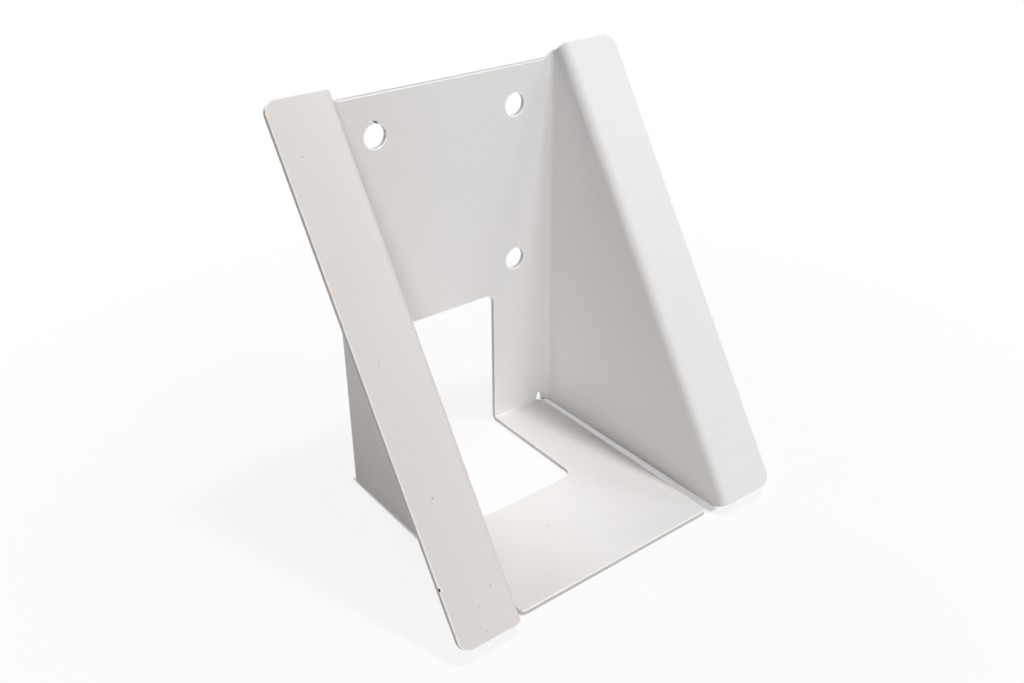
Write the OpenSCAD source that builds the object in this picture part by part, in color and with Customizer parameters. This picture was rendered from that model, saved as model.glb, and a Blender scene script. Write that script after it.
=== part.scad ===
// Angled wall bracket, folded from one blank of coated steel sheet.
//
// A back plate lies on the wall. Two side plates are folded forwards from it and two
// flanges are folded outwards from them, into one sloping front face. A base plate is
// folded forwards from the bottom of the back plate, and stays free of the side plates.
//
// The origin is the middle of the four screw holes, in the wall face. The wall face is
// the plane y = 0, the bracket stands out of it towards -Y, and x = 0 is the plane of
// symmetry. The modules of the sheet's parts measure z from the underside of the base.

/* [Sheet] */
// Thickness of the sheet, coating included
sheet_t = 1.5; // [1:0.1:2.5]
// Inside radius of the upright folds at the wall and of the folds along the front face
side_fold_r = 1.2; // [0.5:0.1:2.5]
// Inside radius of the fold between back and base
base_fold_r = 0.5; // [0.3:0.1:3]

/* [Body] */
// Width over the outer faces of the side plates
body_w = 66; // [58:0.5:120]
// Height of the back plate above the underside of the base
back_h = 100; // [85:0.5:180]

/* [Front face] */
// Lean of the front face from the upright, in degrees
tilt = 33.25; // [25:0.25:42]
// Depth of the side plates at the top of the back plate, square to the front face
neck_d = 6.7; // [6.7:0.1:20]
// Reach of each flange beyond the outer face of its side plate
flange_reach = 15; // [8:0.5:30]
// Lower ends of the flanges, measured up the slope from the level of the underside
flange_start = 4.4; // [2:0.1:10]
// Upper ends of the flanges, measured up the slope from the back plate's top edge
flange_rise = 0.8; // [0:0.1:6]
// Radius of the outer corners of the flanges
flange_corner_r = 3; // [1:0.1:6]

/* [Side plates] */
// Height of their lower edge above the underside of the base, at the wall
heel_lift = 0.3; // [0.1:0.1:3]
// Height of their lower edge above the underside of the base, at the front face
toe_lift = 1.2; // [0.1:0.1:3]

/* [Base plate] */
// Distance from the front face's plane back to the base plate's front edge
base_setback = 6.6; // [2:0.1:20]
// Distance from the edge of the flat back plate in to the edge of the base plate
base_inset = 1; // [0.5:0.1:5]
// Radius of the two front corners of the base plate
base_corner_r = 1.5; // [0.5:0.1:8]

/* [Screw holes] */
// Diameter of the holes for the wall screws
hole_d = 5.8; // [3:0.1:8]
// Spacing of the holes from side to side
hole_pitch_x = 39.8; // [34:0.1:44]
// Spacing of the holes from top to bottom
hole_pitch_z = 41.5; // [15:0.1:45]
// Distance from the top edge of the back plate down to the upper holes
hole_top = 9.7; // [6:0.1:20]

/* [Cable opening] */
// Width of the opening through back, fold and base
cable_w = 25.5; // [10:0.1:50]
// Height of the opening in the back plate, above the underside of the base
cable_h = 40.3; // [10:0.1:44]
// Depth of the opening in the base plate, from the wall face
cable_d = 35; // [10:0.1:50]
// Radius of the corners of the opening
cable_corner_r = 1.5; // [0.5:0.1:4]

/* [Corner reliefs] */
// Diameter of the round relief where the base fold comes near an upright fold
relief_d = 2.5; // [2:0.1:3]
// Distance of its centre in from the edge of the flat back plate
relief_inset = 1.3; // [1.3:0.1:2]
// Height of its centre above the underside of the base
relief_z = 2.2; // [2:0.1:3]
// Width of the slot between the base plate and the upright fold
slot_w = 0.7; // [0.3:0.1:0.8]

/* [Hidden] */
$fn = 96;

// How far a cutting shape runs past the surface that it cuts
over = 1;
// How far shapes that join run into each other
lap = 0.1;
// Lean of the corner reliefs: their bore goes square through the fold, back and down
relief_lean = 30;

// Outer radii of the folds
side_fold_ro = side_fold_r + sheet_t;
base_fold_ro = base_fold_r + sheet_t;

// Outer and inner faces of the right side plate
side_out = body_w / 2;
side_in = side_out - sheet_t;

// Right edges of the flat back plate, of the base plate and of the flange
back_flat = side_out - side_fold_ro;
base_edge = back_flat - base_inset;
flange_edge = side_out + flange_reach;

// Distance of the front face's plane from the wall, at the level of the underside
front_y = (back_h * sin(tilt) + neck_d) / cos(tilt);
base_d = front_y - base_setback;

// Upper ends of the flanges, up the slope, and the length between their two ends
flange_top = back_h * cos(tilt) + front_y * sin(tilt) + flange_rise;
flange_len = flange_top - flange_start;

// Height of a flange's top end, and of a side plate's top edge where its fold begins
top_z = flange_top * cos(tilt);
crown_z = (flange_top - (front_y - side_fold_ro) * sin(tilt)) / cos(tilt);

// In the flat blank that top edge runs straight on, down to the back plate's top edge: its
// length from the fold's far end, and the length that the fold takes up of it
crown_run = (crown_z - back_h) / tan(tilt);
fold_len = PI / 2 * (side_fold_r + sheet_t / 2);

// Centre of the hole pattern above the underside of the base
pattern_z = back_h - hole_top - hole_pitch_z / 2;

// Places its children in the front face's frame: x across, y up the slope, z out of the face
module on_slope() {
    translate([0, -front_y, 0]) rotate([90 - tilt, 0, 0]) children();
}

// Extrudes a side view, drawn as depth and height, towards +X
module side_view(w) {
    rotate([90, 0, 90]) linear_extrude(w) children();
}

// Repeats its children on both sides of the plane of symmetry
module both_sides() {
    for (side = [0, 1]) mirror([side, 0, 0]) children();
}

// What rounds off a corner at the origin, of a shape that lies towards -x and -y
module corner_waste(r) {
    difference() {
        translate([-r, -r]) square(r + over);
        translate([-r, -r]) circle(r = r);
    }
}

// Section through a fold, with its outer faces on the two axes: the sheet runs from
// the fold towards -x for the length a, and towards -y for the length b
module fold_section(a, b, r_in) {
    difference() {
        translate([-a, -b]) square([a, b]);
        corner_waste(r_in + sheet_t);
        difference() {
            translate([-a - over, -b - over]) square([a + over - sheet_t, b + over - sheet_t]);
            translate([-sheet_t, -sheet_t]) corner_waste(r_in);
        }
    }
}

// Rectangle from the x axis up, with its two far corners rounded
module rounded_tab(w, len, r) {
    difference() {
        translate([-w / 2, 0]) square([w, len]);
        for (side = [0, 1]) mirror([side, 0]) translate([w / 2, len]) corner_waste(r);
    }
}

// Rounds off a corner at the origin, of sheet that lies just under z = 0
module corner_cut(r) {
    translate([0, 0, -sheet_t - over]) linear_extrude(sheet_t + 2 * over) corner_waste(r);
}

// Middle of the back plate, with the base plate folded forwards from its foot
module back_and_base() {
    difference() {
        translate([-base_edge, 0, 0]) side_view(2 * base_edge)
            mirror([0, 1]) fold_section(base_d, back_h, base_fold_r);
        both_sides() translate([base_edge, -base_d, sheet_t])
            mirror([0, 1, 0]) corner_cut(base_corner_r);
    }
}

// Right half of the back plate with its side plate, seen from above, then cut to the side
// view: a lower edge clear of the floor, and a front edge where the flange's fold begins
module side_plate() {
    difference() {
        intersection() {
            linear_extrude(top_z) translate([side_out, 0])
                fold_section(side_out + lap, front_y, side_fold_r);
            translate([-over, 0, 0]) side_view(side_out + 2 * over) polygon([
                [over, heel_lift], [0, heel_lift], [-front_y, toe_lift],
                [-front_y, top_z + over], [over, top_z + over]
            ]);
            on_slope() translate([-over, flange_start, -front_y - side_fold_ro - lap / 2])
                cube([side_out + 2 * over, flange_len, front_y]);
        }
        heel_waste();
    }
}

// Room for the fold of the base plate, and for the slot between it and the side plate
module heel_waste() {
    translate([-over, -side_fold_ro, -over])
        cube([base_edge + slot_w + over, side_fold_ro + over, base_fold_ro + over]);
}

// Right flange with its fold into the side plate, and with rounded outer corners
module flange() {
    on_slope() difference() {
        translate([side_in, flange_top, 0]) rotate([90, 0, 0]) linear_extrude(flange_len)
            mirror([1, 0]) fold_section(flange_edge - side_in, side_fold_ro + lap, side_fold_r);
        translate([flange_edge, flange_top, 0]) corner_cut(flange_corner_r);
        translate([flange_edge, flange_start, 0]) mirror([0, 1, 0]) corner_cut(flange_corner_r);
    }
}

// What lies above the top edge. The edge is level along the back plate, then climbs over
// the upright fold in one slanting cut, to meet the square ends of side plate and flange.
module top_waste() {
    start = [(back_flat + fold_len - crown_run + sheet_t / 2) * sin(45), back_h];
    end = [(side_out + side_fold_ro - sheet_t / 2) * sin(45), crown_z];
    far = end + (end - start) * body_w;
    rotate([90, 0, -45]) linear_extrude(2 * body_w, center = true)
        polygon([[-over, back_h], start, far, [-over, far[1]]]);
}

// Four holes through the back plate
module screw_holes() {
    for (x = [-1, 1] * hole_pitch_x / 2, z = [-1, 1] * hole_pitch_z / 2)
        translate([x, over, pattern_z + z]) rotate([90, 0, 0])
            cylinder(h = sheet_t + 2 * over, d = hole_d);
}

// Opening for cables, through the back plate, round the fold and into the base plate
module cable_opening() {
    translate([0, over, -over]) rotate([90, 0, 0]) linear_extrude(over + base_fold_ro)
        rounded_tab(cable_w, cable_h + over, cable_corner_r);
    translate([0, over, -over]) mirror([0, 1, 0]) linear_extrude(sheet_t + 2 * over)
        rounded_tab(cable_w, cable_d + over, cable_corner_r);
}

// Round relief at the end of the slot beside the base, leaning with the base fold
module corner_relief() {
    translate([back_flat - relief_inset, -sheet_t, relief_z]) rotate([90 - relief_lean, 0, 0])
        cylinder(h = 2 * (sheet_t + over), d = relief_d, center = true);
}

module bracket() {
    color("gainsboro") translate([0, 0, -pattern_z]) difference() {
        union() {
            back_and_base();
            both_sides() difference() {
                union() {
                    side_plate();
                    flange();
                }
                top_waste();
            }
        }
        screw_holes();
        cable_opening();
        both_sides() corner_relief();
    }
}

bracket();
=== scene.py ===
"""The look of an angled wall bracket: one folded steel sheet with an off-white powder coat.

The frame is metres, with X across the bracket, -Y out of the wall and Z up. The origin is
the middle of the four screw holes, in the wall face. The bracket stands on a pale floor.
"""

from math import cos, radians, sin

import bmesh
import bpy
from mathutils import Matrix, Vector


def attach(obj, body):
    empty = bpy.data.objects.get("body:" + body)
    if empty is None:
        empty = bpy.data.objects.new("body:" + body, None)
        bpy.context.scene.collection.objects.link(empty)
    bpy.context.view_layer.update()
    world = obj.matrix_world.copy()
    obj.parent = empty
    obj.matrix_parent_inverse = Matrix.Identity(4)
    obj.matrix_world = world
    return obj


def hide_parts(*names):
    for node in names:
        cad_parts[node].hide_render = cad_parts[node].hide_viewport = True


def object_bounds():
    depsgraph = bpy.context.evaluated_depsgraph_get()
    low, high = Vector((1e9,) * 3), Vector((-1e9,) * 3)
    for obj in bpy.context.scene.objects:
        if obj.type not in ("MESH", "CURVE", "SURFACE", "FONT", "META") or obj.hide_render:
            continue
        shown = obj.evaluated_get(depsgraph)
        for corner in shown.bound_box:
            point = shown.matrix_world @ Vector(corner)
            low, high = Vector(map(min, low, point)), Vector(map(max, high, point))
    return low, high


MM = 0.001

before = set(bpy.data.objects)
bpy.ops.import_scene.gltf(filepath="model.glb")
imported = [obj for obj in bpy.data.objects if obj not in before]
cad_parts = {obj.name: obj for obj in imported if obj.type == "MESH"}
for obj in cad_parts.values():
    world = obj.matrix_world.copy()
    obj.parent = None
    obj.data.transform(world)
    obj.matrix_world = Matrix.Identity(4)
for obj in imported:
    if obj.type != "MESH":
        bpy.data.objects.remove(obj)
cad_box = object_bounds()

# Where flat faces are divided: through both columns of holes, and in the back over its reliefs
HOLE_X = 19.9 * MM
OVER_RELIEFS_Z = -65.4 * MM
BACK_Y = -3 * MM

# The cable opening: its sides, its top and front edges, and how far its corners reach in
OPENING_SIDE_X = 12.75 * MM
OPENING_TOP_Z = -29.25 * MM
OPENING_FRONT_Y = -35 * MM
CORNER_REACH = 1.55 * MM

# How much further left the photograph has its left side, and how much rounder its corners
OPENING_SHIFT = 5.25 * MM
CORNER_GROWTH = 1.8

# The sheet's edges, as the coat leaves them, and how far large faces decide the shading
MERGE_DISTANCE = 0.002 * MM
EDGE_ROUND = 0.28 * MM
EDGE_STEPS = 3
FLAT_ANGLE = radians(0.4)
CUT_ANGLE = radians(50)
LARGE_FACE_WEIGHT = 100

# The slots between the base and the side plates, where the rounded edges get painted shade
SLOT_X = 31 * MM
SLOT_REACH = 3 * MM
SLOT_TOP_Z = -67.5 * MM
SLOT_FRONT_Y = -66.5 * MM

# What each face belongs to, kept with the mesh for the coat, its painted shade and its painted
# highlight: 0 is a skin of the sheet, and half a step tells one kind of face from the next
COAT_PART = "coat_part"
CUT_AND_SHADED_FACE = 1.0
ROUNDED_EDGE = 2.0
HALF_STEP = 0.5

# A stretch of faces that is larger than this share of the whole surface is a skin
SKIN_SHARE = 0.25

# The coat's colour, darker and warmer on the left by painted shade, and what shows in it or
# through it
SHADED_COAT_LEFT = (0.75, 0.705, 0.68)
LIT_COAT_RIGHT = (0.848, 0.835, 0.824)
# The painted shade runs from here on the left flange to full light at the middle
COAT_LEFT_X = -45 * MM
COAT_RIGHT_X = 0
BARE_STEEL = (0.006, 0.006, 0.007)
DUST = (0.36, 0.32, 0.29)
# Painted highlight for the rounded edges, also the pale rims round the marks
RAISED_COAT_AND_HIGHLIGHT = (0.97, 0.965, 0.96)
# Thin coat on the cut faces darkened with painted shade, also painted shade on the rounded edges
# in the slots
THIN_COAT_AND_SHADE = (0.56, 0.52, 0.49)
COAT_ROUGHNESS = 0.46
COAT_IOR = 1.5

# Where the coat differs, with painted light: the kind of face, its colour there, and how far
# that covers. Cut faces are thinly coated and darkened with painted shade; rounded edges get
# a painted highlight
EDGE_COATS_AND_LIGHT = [
    (CUT_AND_SHADED_FACE, THIN_COAT_AND_SHADE, 0.8),
    (ROUNDED_EDGE, RAISED_COAT_AND_HIGHLIGHT, 1.0),
]

# Noise in the coat: waves to the metre, detail and roughness
PEEL_NOISE = (1100, 2, 0.45)
SWELL_NOISE = (70, 3, 0.5)
CLOUD_NOISE = (28, 4, 0.5)
RAGGED_NOISE = (2600, 2, 0.5)

# How much of it shows: the swell beside the orange peel, both as relief, and clouds of tone
SWELL_SHARE = 0.6
BUMP_STRENGTH = 0.12
BUMP_HEIGHT = 0.03 * MM
CLOUD_STRENGTH = 0.25

# Grit in the coat: places to the metre, how few of them hold a grain, its size and strength
GRIT_SCALE = 130
GRIT_RARITY = 0.8
GRIT_SIZE = 0.12
GRIT_SHARE = 0.3

# Marks in the coat: place, half sizes and turn, in millimetres and degrees
CHIPS = [
    ((-47.9, -63.23, -53.76), (0.34, 0.42, 0.42), (0, 0, 0)),
    # A near black streak on the upper rim of the top left screw hole
    ((-19.55, -1.5, 23.95), (0.85, 0.5, 0.2), (0, 36, 0)),
]
CHIP_RIMS = [
    ((-47.75, -63.23, -53.76), (0.62, 0.7, 0.7), (0, 0, 0)),
    ((-21.05, -1.4, 24.5), (0.5, 0.4, 0.3), (0, -20, 0)),
]
SPECKS = [
    ((-42.28, -53.41, -38.79), (0.3, 0.3, 0.3), (0, 0, 0)),
    ((-36.45, -65.41, -57.10), (0.22, 0.22, 0.22), (0, 0, 0)),
    ((-40.73, -67.02, -59.55), (0.2, 0.2, 0.2), (0, 0, 0)),
    ((-40.90, -69.98, -64.07), (0.18, 0.18, 0.18), (0, 0, 0)),
    ((-44.57, -28.58, -0.92), (0.16, 0.16, 0.16), (0, 0, 0)),
    ((-41.73, -16.54, 17.44), (0.14, 0.14, 0.14), (0, 0, 0)),
    ((-43.62, -12.19, 24.08), (0.5, 0.12, 0.12), (0, 0, 0)),
    ((-43.20, -36.86, -13.55), (0.3, 0.12, 0.12), (0, -25, 0)),
    ((-5.73, -47.70, -68.05), (0.25, 0.25, 0.25), (0, 0, 0)),
    ((3.69, -1.5, -23.40), (0.2, 0.2, 0.2), (0, 0, 0)),
    ((-7.52, -1.5, -28.58), (0.2, 0.2, 0.2), (0, 0, 0)),
    # A dark streak on the wall of the top left screw hole
    ((-17.3, -1.1, 21.3), (0.35, 0.7, 0.5), (0, 0, 0)),
]

# Kinds of mark, from the lowest: name, marks, colour, and how far that covers
MARKS = [
    ("chip_rims", CHIP_RIMS, RAISED_COAT_AND_HIGHLIGHT, 0.8),
    ("specks", SPECKS, DUST, 0.55),
    ("chips", CHIPS, BARE_STEEL, 1.0),
]

# Outline of a mark: how ragged it is, and where it fades, as a share of its half sizes
RAGGED_STRENGTH = 0.9
MARK_OUTSIDE = 1.15
MARK_INSIDE = 0.75

# Camera: where it looks, how it is turned, and how far off it stands
VIEW_CENTRE = Vector((-0.461, -26.4, -27.9)) * MM
VIEW_AZIMUTH = radians(-37.654)
VIEW_ELEVATION = radians(29.425)
VIEW_ROLL = radians(-0.152)
VIEW_DISTANCE = 253.257 * MM
LENS = 36.882
SENSOR = 36.0
NEAREST_SEEN = 10 * MM

# Floor: where it is white of itself, and the strips under the slots that it leaves in shade
FLOOR_SIZE = 6.0
FLOOR_GAP = 0.05 * MM
FLOOR_CENTRE = Vector((0, -30, 0)) * MM
WHITE_NEAR = 70 * MM
WHITE_FAR = 200 * MM
NEAR_WHITE = 0.84
SHADE_X = 31.25 * MM
SHADE_HALF_WIDTH = 1.75 * MM
SHADE_Y = -33.5 * MM
SHADE_HALF_DEPTH = 33.5 * MM
SHADE_WHITE = 0.52
PAPER = (0.9, 0.9, 0.9, 1)
WHITE = (1, 1, 1, 1)

# Lamps: name, azimuth and elevation in degrees, distance and size in metres, watts
LIT_CENTRE = Vector((0, -30, -20)) * MM
LAMPS = [
    ("key_lamp", 45, 76, 0.8, 0.1, 3.85),
    ("front_lamp", 0, 15, 0.8, 0.3, 0.95),
    ("fill_lamp", -30, 5, 0.8, 0.1, 1.24),
    ("near_lamp", 50, 35, 0.4, 0.1, 0.17),
    ("rear_lamp", 180, 15, 0.8, 0.3, 3.3),
    ("left_lamp", -110, 15, 0.8, 0.3, 0.25),
]


# Meshes

def new_object(name, mesh_edit):
    """Links a new object that holds the edited mesh, and frees the edit."""
    mesh = bpy.data.meshes.new(name)
    mesh_edit.to_mesh(mesh)
    mesh_edit.free()
    made = bpy.data.objects.new(name, mesh)
    bpy.context.scene.collection.objects.link(made)
    return made


def coated_sheet(node):
    """A copy of the folded sheet with its cut edges rounded over by the coat."""
    sheet = bmesh.new()
    sheet.from_mesh(node.data)
    bmesh.ops.remove_doubles(sheet, verts=sheet.verts, dist=MERGE_DISTANCE)
    for x in (-HOLE_X, HOLE_X):
        divide(sheet, sheet.faces[:], (x, 0, 0), (1, 0, 0))
    back = [face for face in sheet.faces if all(corner.co.y > BACK_Y for corner in face.verts)]
    divide(sheet, back, (0, 0, OVER_RELIEFS_Z), (0, 0, 1))
    bmesh.ops.dissolve_limit(sheet, angle_limit=FLAT_ANGLE, use_dissolve_boundaries=False,
                             verts=sheet.verts, edges=sheet.edges, delimit={'SEAM'})
    widen_opening(sheet)
    sharp = [edge for edge in sheet.edges if edge.calc_face_angle() > CUT_ANGLE]
    coat_part = sheet.faces.layers.float.new(COAT_PART)
    # The cut faces, thinly coated and darkened with painted shade
    for face in cut_faces(sheet, set(sharp)):
        face[coat_part] = CUT_AND_SHADED_FACE
    rounded = bmesh.ops.bevel(sheet, geom=sharp, offset=EDGE_ROUND, offset_type='OFFSET',
                              affect='EDGES', segments=EDGE_STEPS, profile=0.5, material=-1,
                              clamp_overlap=False)
    # Rounded edges get a painted highlight; down in the slots they get the cut faces' painted
    # shade
    for face in rounded["faces"]:
        face[coat_part] = CUT_AND_SHADED_FACE if beside_slot(face) else ROUNDED_EDGE
    for face in sheet.faces:
        face.smooth = True
    made = new_object("coated_sheet", sheet)
    keep_flats = made.modifiers.new("keep_flats", 'WEIGHTED_NORMAL')
    keep_flats.weight = LARGE_FACE_WEIGHT
    keep_flats.keep_sharp = False
    return made


def divide(sheet, faces, place, across):
    """Divides the faces along a plane, so that none has a hole in it or runs past a relief."""
    edges = dict.fromkeys(edge for face in faces for edge in face.edges)
    corners = dict.fromkeys(corner for face in faces for corner in face.verts)
    divided = bmesh.ops.bisect_plane(sheet, geom=[*corners, *edges, *faces], dist=MERGE_DISTANCE,
                                     plane_co=place, plane_no=across)
    for part in divided["geom_cut"]:
        if isinstance(part, bmesh.types.BMEdge):
            part.seam = True


def widen_opening(sheet):
    """Makes the opening's corners rounder, and moves its left side to behind the left flange."""
    for corner in sheet.verts:
        place = corner.co
        side = OPENING_SIDE_X if place.x > 0 else -OPENING_SIDE_X
        if abs(side - place.x) > CORNER_REACH:
            continue
        if abs(OPENING_TOP_Z - place.z) < CORNER_REACH:
            place.x = side + (place.x - side) * CORNER_GROWTH
            place.z = OPENING_TOP_Z + (place.z - OPENING_TOP_Z) * CORNER_GROWTH
        elif abs(OPENING_FRONT_Y - place.y) < CORNER_REACH:
            place.x = side + (place.x - side) * CORNER_GROWTH
            place.y = OPENING_FRONT_Y + (place.y - OPENING_FRONT_Y) * CORNER_GROWTH
        if side < 0:
            place.x -= OPENING_SHIFT


def cut_faces(sheet, sharp):
    """The faces across the sheet's thickness: all that sharp edges part from the two skins."""
    skin_area = sum(face.calc_area() for face in sheet.faces) * SKIN_SHARE
    cut = []
    left = set(sheet.faces)
    while left:
        patch = {left.pop()}
        reached = list(patch)
        while reached:
            for edge in reached.pop().edges:
                if edge not in sharp:
                    found = left.intersection(edge.link_faces)
                    left -= found
                    patch |= found
                    reached.extend(found)
        if sum(face.calc_area() for face in patch) < skin_area:
            cut.extend(patch)
    return cut


def beside_slot(face):
    """Whether a rounded edge lies down in the slot between base and side plate, to get painted
    shade.
    """
    middle = face.calc_center_median()
    near = abs(abs(middle.x) - SLOT_X) < SLOT_REACH
    return near and middle.z < SLOT_TOP_Z and middle.y > SLOT_FRONT_Y


def floor_plane(size, height):
    """A square floor, centred under the bracket."""
    plane = bmesh.new()
    bmesh.ops.create_grid(plane, x_segments=1, y_segments=1, size=size / 2)
    bmesh.ops.translate(plane, verts=plane.verts, vec=(0, 0, height))
    return new_object("floor", plane)


# Nodes

def new_material(name):
    """A material with only its output node; returns it, its tree and its surface socket."""
    material = bpy.data.materials.new(name)
    material.use_nodes = True
    tree = material.node_tree
    tree.nodes.clear()
    return material, tree, tree.nodes.new("ShaderNodeOutputMaterial").inputs["Surface"]


def new_group(name, *values):
    """A group from a position to named values; returns it, its position and its results."""
    group = bpy.data.node_groups.new(name, "ShaderNodeTree")
    group.interface.new_socket("Position", in_out='INPUT', socket_type='NodeSocketVector')
    for value in values:
        group.interface.new_socket(value, in_out='OUTPUT', socket_type='NodeSocketFloat')
    position = group.nodes.new("NodeGroupInput").outputs["Position"]
    return group, position, group.nodes.new("NodeGroupOutput").inputs


def group_results(tree, group, position):
    """Uses a group in a tree, at the position; returns its results."""
    node = tree.nodes.new("ShaderNodeGroup")
    node.node_tree = group
    tree.links.new(position, node.inputs["Position"])
    return node.outputs


def math_node(tree, operation, first, second=None):
    """A Math node fed by sockets or numbers; returns its result socket."""
    node = tree.nodes.new("ShaderNodeMath")
    node.operation = operation
    for socket, value in zip(node.inputs, (first, second)):
        if isinstance(value, bpy.types.NodeSocket):
            tree.links.new(value, socket)
        elif value is not None:
            socket.default_value = value
    return node.outputs[0]


def noise(tree, position, scale, detail, roughness):
    """Noise of about 0 to 1, with its middle at 0.5; returns its socket."""
    node = tree.nodes.new("ShaderNodeTexNoise")
    node.inputs["Scale"].default_value = scale
    node.inputs["Detail"].default_value = detail
    node.inputs["Roughness"].default_value = roughness
    tree.links.new(position, node.inputs["Vector"])
    return node.outputs[0]


def centred(tree, value, strength):
    """Brings noise round 0, at that strength; returns its socket."""
    return math_node(tree, 'MULTIPLY', math_node(tree, 'SUBTRACT', value, 0.5), strength)


def ranged(tree, value, start, end, at_start=0.0, at_end=1.0):
    """Runs evenly from one result to the other, as the value goes from start to end."""
    node = tree.nodes.new("ShaderNodeMapRange")
    limits = (("From Min", start), ("From Max", end), ("To Min", at_start), ("To Max", at_end))
    for name, number in limits:
        node.inputs[name].default_value = number
    tree.links.new(value, node.inputs["Value"])
    return node.outputs[0]


def within(tree, value, middle, half):
    """1 where the value lies less than half from the middle, and 0 elsewhere."""
    gap = math_node(tree, 'ABSOLUTE', math_node(tree, 'SUBTRACT', value, middle))
    return math_node(tree, 'LESS_THAN', gap, half)


def painted(tree, under, over, share):
    """Mixes a plain colour over a colour socket, by the share; returns the result socket."""
    mix = tree.nodes.new("ShaderNodeMix")
    mix.data_type = 'RGBA'
    tree.links.new(share, mix.inputs["Factor"])
    tree.links.new(under, mix.inputs["A"])
    mix.inputs["B"].default_value = over + (1,)
    return mix.outputs["Result"]


def mixed_shaders(tree, share, first, second):
    """Mixes the second shader over the first, by the share; returns the result socket."""
    mix = tree.nodes.new("ShaderNodeMixShader")
    for socket, value in zip(mix.inputs, (share, first, second)):
        tree.links.new(value, socket)
    return mix.outputs[0]


def seen_directly(tree):
    """1 for what the camera sees, or sees in a reflection, and 0 for light that spreads."""
    seen = tree.nodes.new("ShaderNodeLightPath")
    rays = math_node(tree, 'MAXIMUM', seen.outputs["Is Camera Ray"], seen.outputs["Is Glossy Ray"])
    return math_node(tree, 'MAXIMUM', rays, seen.outputs["Is Transmission Ray"])


# Powder coat

def mark_group(name, marks):
    """Mask of small marks, each a ragged oval at its own place in the coat."""
    group, position, results = new_group(name, "Mask")
    edge = centred(group, noise(group, position, *RAGGED_NOISE), RAGGED_STRENGTH)
    mask = None
    for place, half_sizes, turn in marks:
        local = group.nodes.new("ShaderNodeMapping")
        local.vector_type = 'TEXTURE'
        local.inputs["Location"].default_value = Vector(place) * MM
        local.inputs["Rotation"].default_value = [radians(angle) for angle in turn]
        local.inputs["Scale"].default_value = Vector(half_sizes) * MM
        group.links.new(position, local.inputs["Vector"])
        reach = group.nodes.new("ShaderNodeVectorMath")
        reach.operation = 'LENGTH'
        group.links.new(local.outputs[0], reach.inputs[0])
        outline = math_node(group, 'ADD', reach.outputs["Value"], edge)
        inside = ranged(group, outline, MARK_OUTSIDE, MARK_INSIDE)
        mask = inside if mask is None else math_node(group, 'MAXIMUM', mask, inside)
    group.links.new(mask, results["Mask"])
    return group


def coat_group():
    """Shared texture of the powder coat: its orange peel, its faint tone with painted shade across
    it, and its grit.
    """
    group, position, results = new_group("powder_texture", "Peel", "Tone_and_painted_light", "Grit")
    peel = noise(group, position, *PEEL_NOISE)
    swell = math_node(group, 'MULTIPLY', noise(group, position, *SWELL_NOISE), SWELL_SHARE)
    group.links.new(math_node(group, 'ADD', peel, swell), results["Peel"])

    parts = group.nodes.new("ShaderNodeSeparateXYZ")
    group.links.new(position, parts.inputs[0])
    # Painted shade: the coat turns darker and warmer towards the left flange, as the light falls
    # there; the cloud noise is the coat's own uneven tone
    across = ranged(group, parts.outputs["X"], COAT_LEFT_X, COAT_RIGHT_X)
    cloud = centred(group, noise(group, position, *CLOUD_NOISE), CLOUD_STRENGTH)
    group.links.new(math_node(group, 'ADD', across, cloud), results["Tone_and_painted_light"])

    grit = group.nodes.new("ShaderNodeTexVoronoi")
    grit.inputs["Scale"].default_value = GRIT_SCALE
    grit.inputs["Randomness"].default_value = 1
    group.links.new(position, grit.inputs["Vector"])
    rare = math_node(group, 'SUBTRACT', grit.outputs["Color"], GRIT_RARITY)
    size = math_node(group, 'MULTIPLY', rare, GRIT_SIZE)
    group.links.new(math_node(group, 'LESS_THAN', grit.outputs["Distance"], size), results["Grit"])
    return group


def powder_coat():
    """Off-white powder coat over folded steel, with painted light and shade in its colour."""
    material, tree, surface = new_material("off_white_powder_coat")
    coat = tree.nodes.new("ShaderNodeBsdfPrincipled")
    coat.inputs["Roughness"].default_value = COAT_ROUGHNESS
    coat.inputs["IOR"].default_value = COAT_IOR
    tree.links.new(coat.outputs[0], surface)
    position = tree.nodes.new("ShaderNodeTexCoord").outputs["Object"]
    texture = group_results(tree, coat_group(), position)

    # The coat's colour, from the painted shade on the left to the painted light on the right
    shade = tree.nodes.new("ShaderNodeValToRGB")
    shade.color_ramp.elements[0].color = SHADED_COAT_LEFT + (1,)
    shade.color_ramp.elements[1].color = LIT_COAT_RIGHT + (1,)
    tree.links.new(texture["Tone_and_painted_light"], shade.inputs[0])
    part = tree.nodes.new("ShaderNodeAttribute")
    part.attribute_name = COAT_PART
    colour = shade.outputs[0]
    for kind, part_colour, strength in EDGE_COATS_AND_LIGHT:
        mask = within(tree, part.outputs["Fac"], kind, HALF_STEP)
        colour = painted(tree, colour, part_colour, math_node(tree, 'MULTIPLY', mask, strength))
    colour = painted(tree, colour, DUST, math_node(tree, 'MULTIPLY', texture["Grit"], GRIT_SHARE))
    for name, marks, mark_colour, strength in MARKS:
        mask = group_results(tree, mark_group(name, marks), position)["Mask"]
        colour = painted(tree, colour, mark_colour, math_node(tree, 'MULTIPLY', mask, strength))
    tree.links.new(colour, coat.inputs["Base Color"])

    bump = tree.nodes.new("ShaderNodeBump")
    bump.inputs["Strength"].default_value = BUMP_STRENGTH
    bump.inputs["Distance"].default_value = BUMP_HEIGHT
    tree.links.new(texture["Peel"], bump.inputs["Height"])
    tree.links.new(bump.outputs[0], coat.inputs["Normal"])
    return material


# Floor

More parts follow.
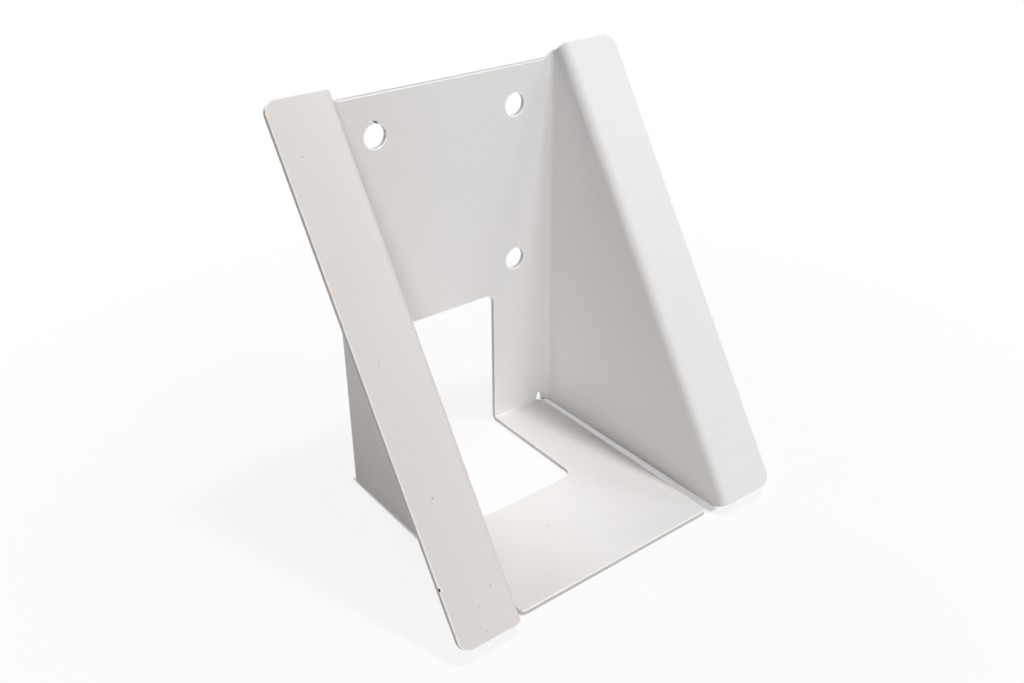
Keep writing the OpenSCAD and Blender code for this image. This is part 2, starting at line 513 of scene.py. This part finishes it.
def floor_group():
    """How much of the floor's own white shows: all of it far off, and less under the slots."""
    group, position, results = new_group("floor_white", "White")
    reach = group.nodes.new("ShaderNodeVectorMath")
    reach.operation = 'DISTANCE'
    reach.inputs[1].default_value = FLOOR_CENTRE
    group.links.new(position, reach.inputs[0])
    spread = ranged(group, reach.outputs["Value"], WHITE_NEAR, WHITE_FAR, at_start=NEAR_WHITE)
    parts = group.nodes.new("ShaderNodeSeparateXYZ")
    group.links.new(position, parts.inputs[0])
    across = math_node(group, 'ABSOLUTE', parts.outputs["X"])
    under = math_node(group, 'MULTIPLY', within(group, across, SHADE_X, SHADE_HALF_WIDTH),
                      within(group, parts.outputs["Y"], SHADE_Y, SHADE_HALF_DEPTH))
    kept = math_node(group, 'SUBTRACT', 1.0, math_node(group, 'MULTIPLY', under, 1 - SHADE_WHITE))
    group.links.new(math_node(group, 'MULTIPLY', spread, kept), results["White"])
    return group


def pale_floor():
    """Floor that the camera sees nearly white, with a soft shadow on it, and clear from below."""
    material, tree, surface = new_material("pale_floor")
    paper = tree.nodes.new("ShaderNodeBsdfDiffuse")
    paper.inputs["Color"].default_value = PAPER
    white = tree.nodes.new("ShaderNodeEmission")
    white.inputs["Color"].default_value = WHITE
    white.inputs["Strength"].default_value = 1
    position = tree.nodes.new("ShaderNodeTexCoord").outputs["Object"]
    own_white = group_results(tree, floor_group(), position)["White"]
    share = math_node(tree, 'MULTIPLY', own_white, seen_directly(tree))
    top = mixed_shaders(tree, share, paper.outputs[0], white.outputs[0])
    from_below = tree.nodes.new("ShaderNodeNewGeometry").outputs["Backfacing"]
    clear = tree.nodes.new("ShaderNodeBsdfTransparent").outputs[0]
    tree.links.new(mixed_shaders(tree, from_below, top, clear), surface)
    return material


# Camera and lighting

def turned_towards(target, azimuth, elevation, distance, roll=0.0):
    """Matrix of a camera or lamp that looks at the target from that direction."""
    back = Vector((sin(azimuth) * cos(elevation), -cos(azimuth) * cos(elevation), sin(elevation)))
    right = Vector((0, 0, 1)).cross(back).normalized()
    up = back.cross(right)
    across = right * cos(roll) + up * sin(roll)
    upright = up * cos(roll) - right * sin(roll)
    turn = Matrix((across, upright, back)).transposed().to_4x4()
    return Matrix.Translation(target + back * distance) @ turn


def add_camera():
    """The camera at the photograph's viewing angle."""
    data = bpy.data.cameras.new("camera")
    data.lens = LENS
    data.sensor_width = SENSOR
    data.sensor_fit = 'HORIZONTAL'
    data.clip_start = NEAREST_SEEN
    camera = bpy.data.objects.new("camera", data)
    camera.matrix_world = turned_towards(VIEW_CENTRE, VIEW_AZIMUTH, VIEW_ELEVATION,
                                         VIEW_DISTANCE, VIEW_ROLL)
    bpy.context.scene.collection.objects.link(camera)
    bpy.context.scene.camera = camera


def add_lamp(name, azimuth, elevation, distance, size, power):
    """A square soft lamp that looks at the bracket. Azimuth 0 is in front, 90 to the right."""
    data = bpy.data.lights.new(name, 'AREA')
    data.shape = 'SQUARE'
    data.size = size
    data.energy = power
    lamp = bpy.data.objects.new(name, data)
    lamp.matrix_world = turned_towards(LIT_CENTRE, radians(azimuth), radians(elevation), distance)
    lamp.visible_camera = False
    bpy.context.scene.collection.objects.link(lamp)


def add_surroundings():
    """White to the camera and in reflections, and no light otherwise."""
    world = bpy.data.worlds.new("surroundings")
    bpy.context.scene.world = world
    world.use_nodes = True
    tree = world.node_tree
    tree.nodes.clear()
    output = tree.nodes.new("ShaderNodeOutputWorld")
    sky = tree.nodes.new("ShaderNodeBackground")
    sky.inputs["Color"].default_value = WHITE
    tree.links.new(seen_directly(tree), sky.inputs["Strength"])
    tree.links.new(sky.outputs[0], output.inputs["Surface"])


# The scene

sheet = coated_sheet(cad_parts["bracket"])
sheet.data.materials.append(powder_coat())
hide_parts("bracket")
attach(sheet, "root")

underside_z = cad_box[0].z
floor = floor_plane(FLOOR_SIZE, underside_z - FLOOR_GAP)
floor.data.materials.append(pale_floor())

for lamp in LAMPS:
    add_lamp(*lamp)
add_surroundings()
add_camera()
bpy.context.scene.view_settings.view_transform = 'Standard'
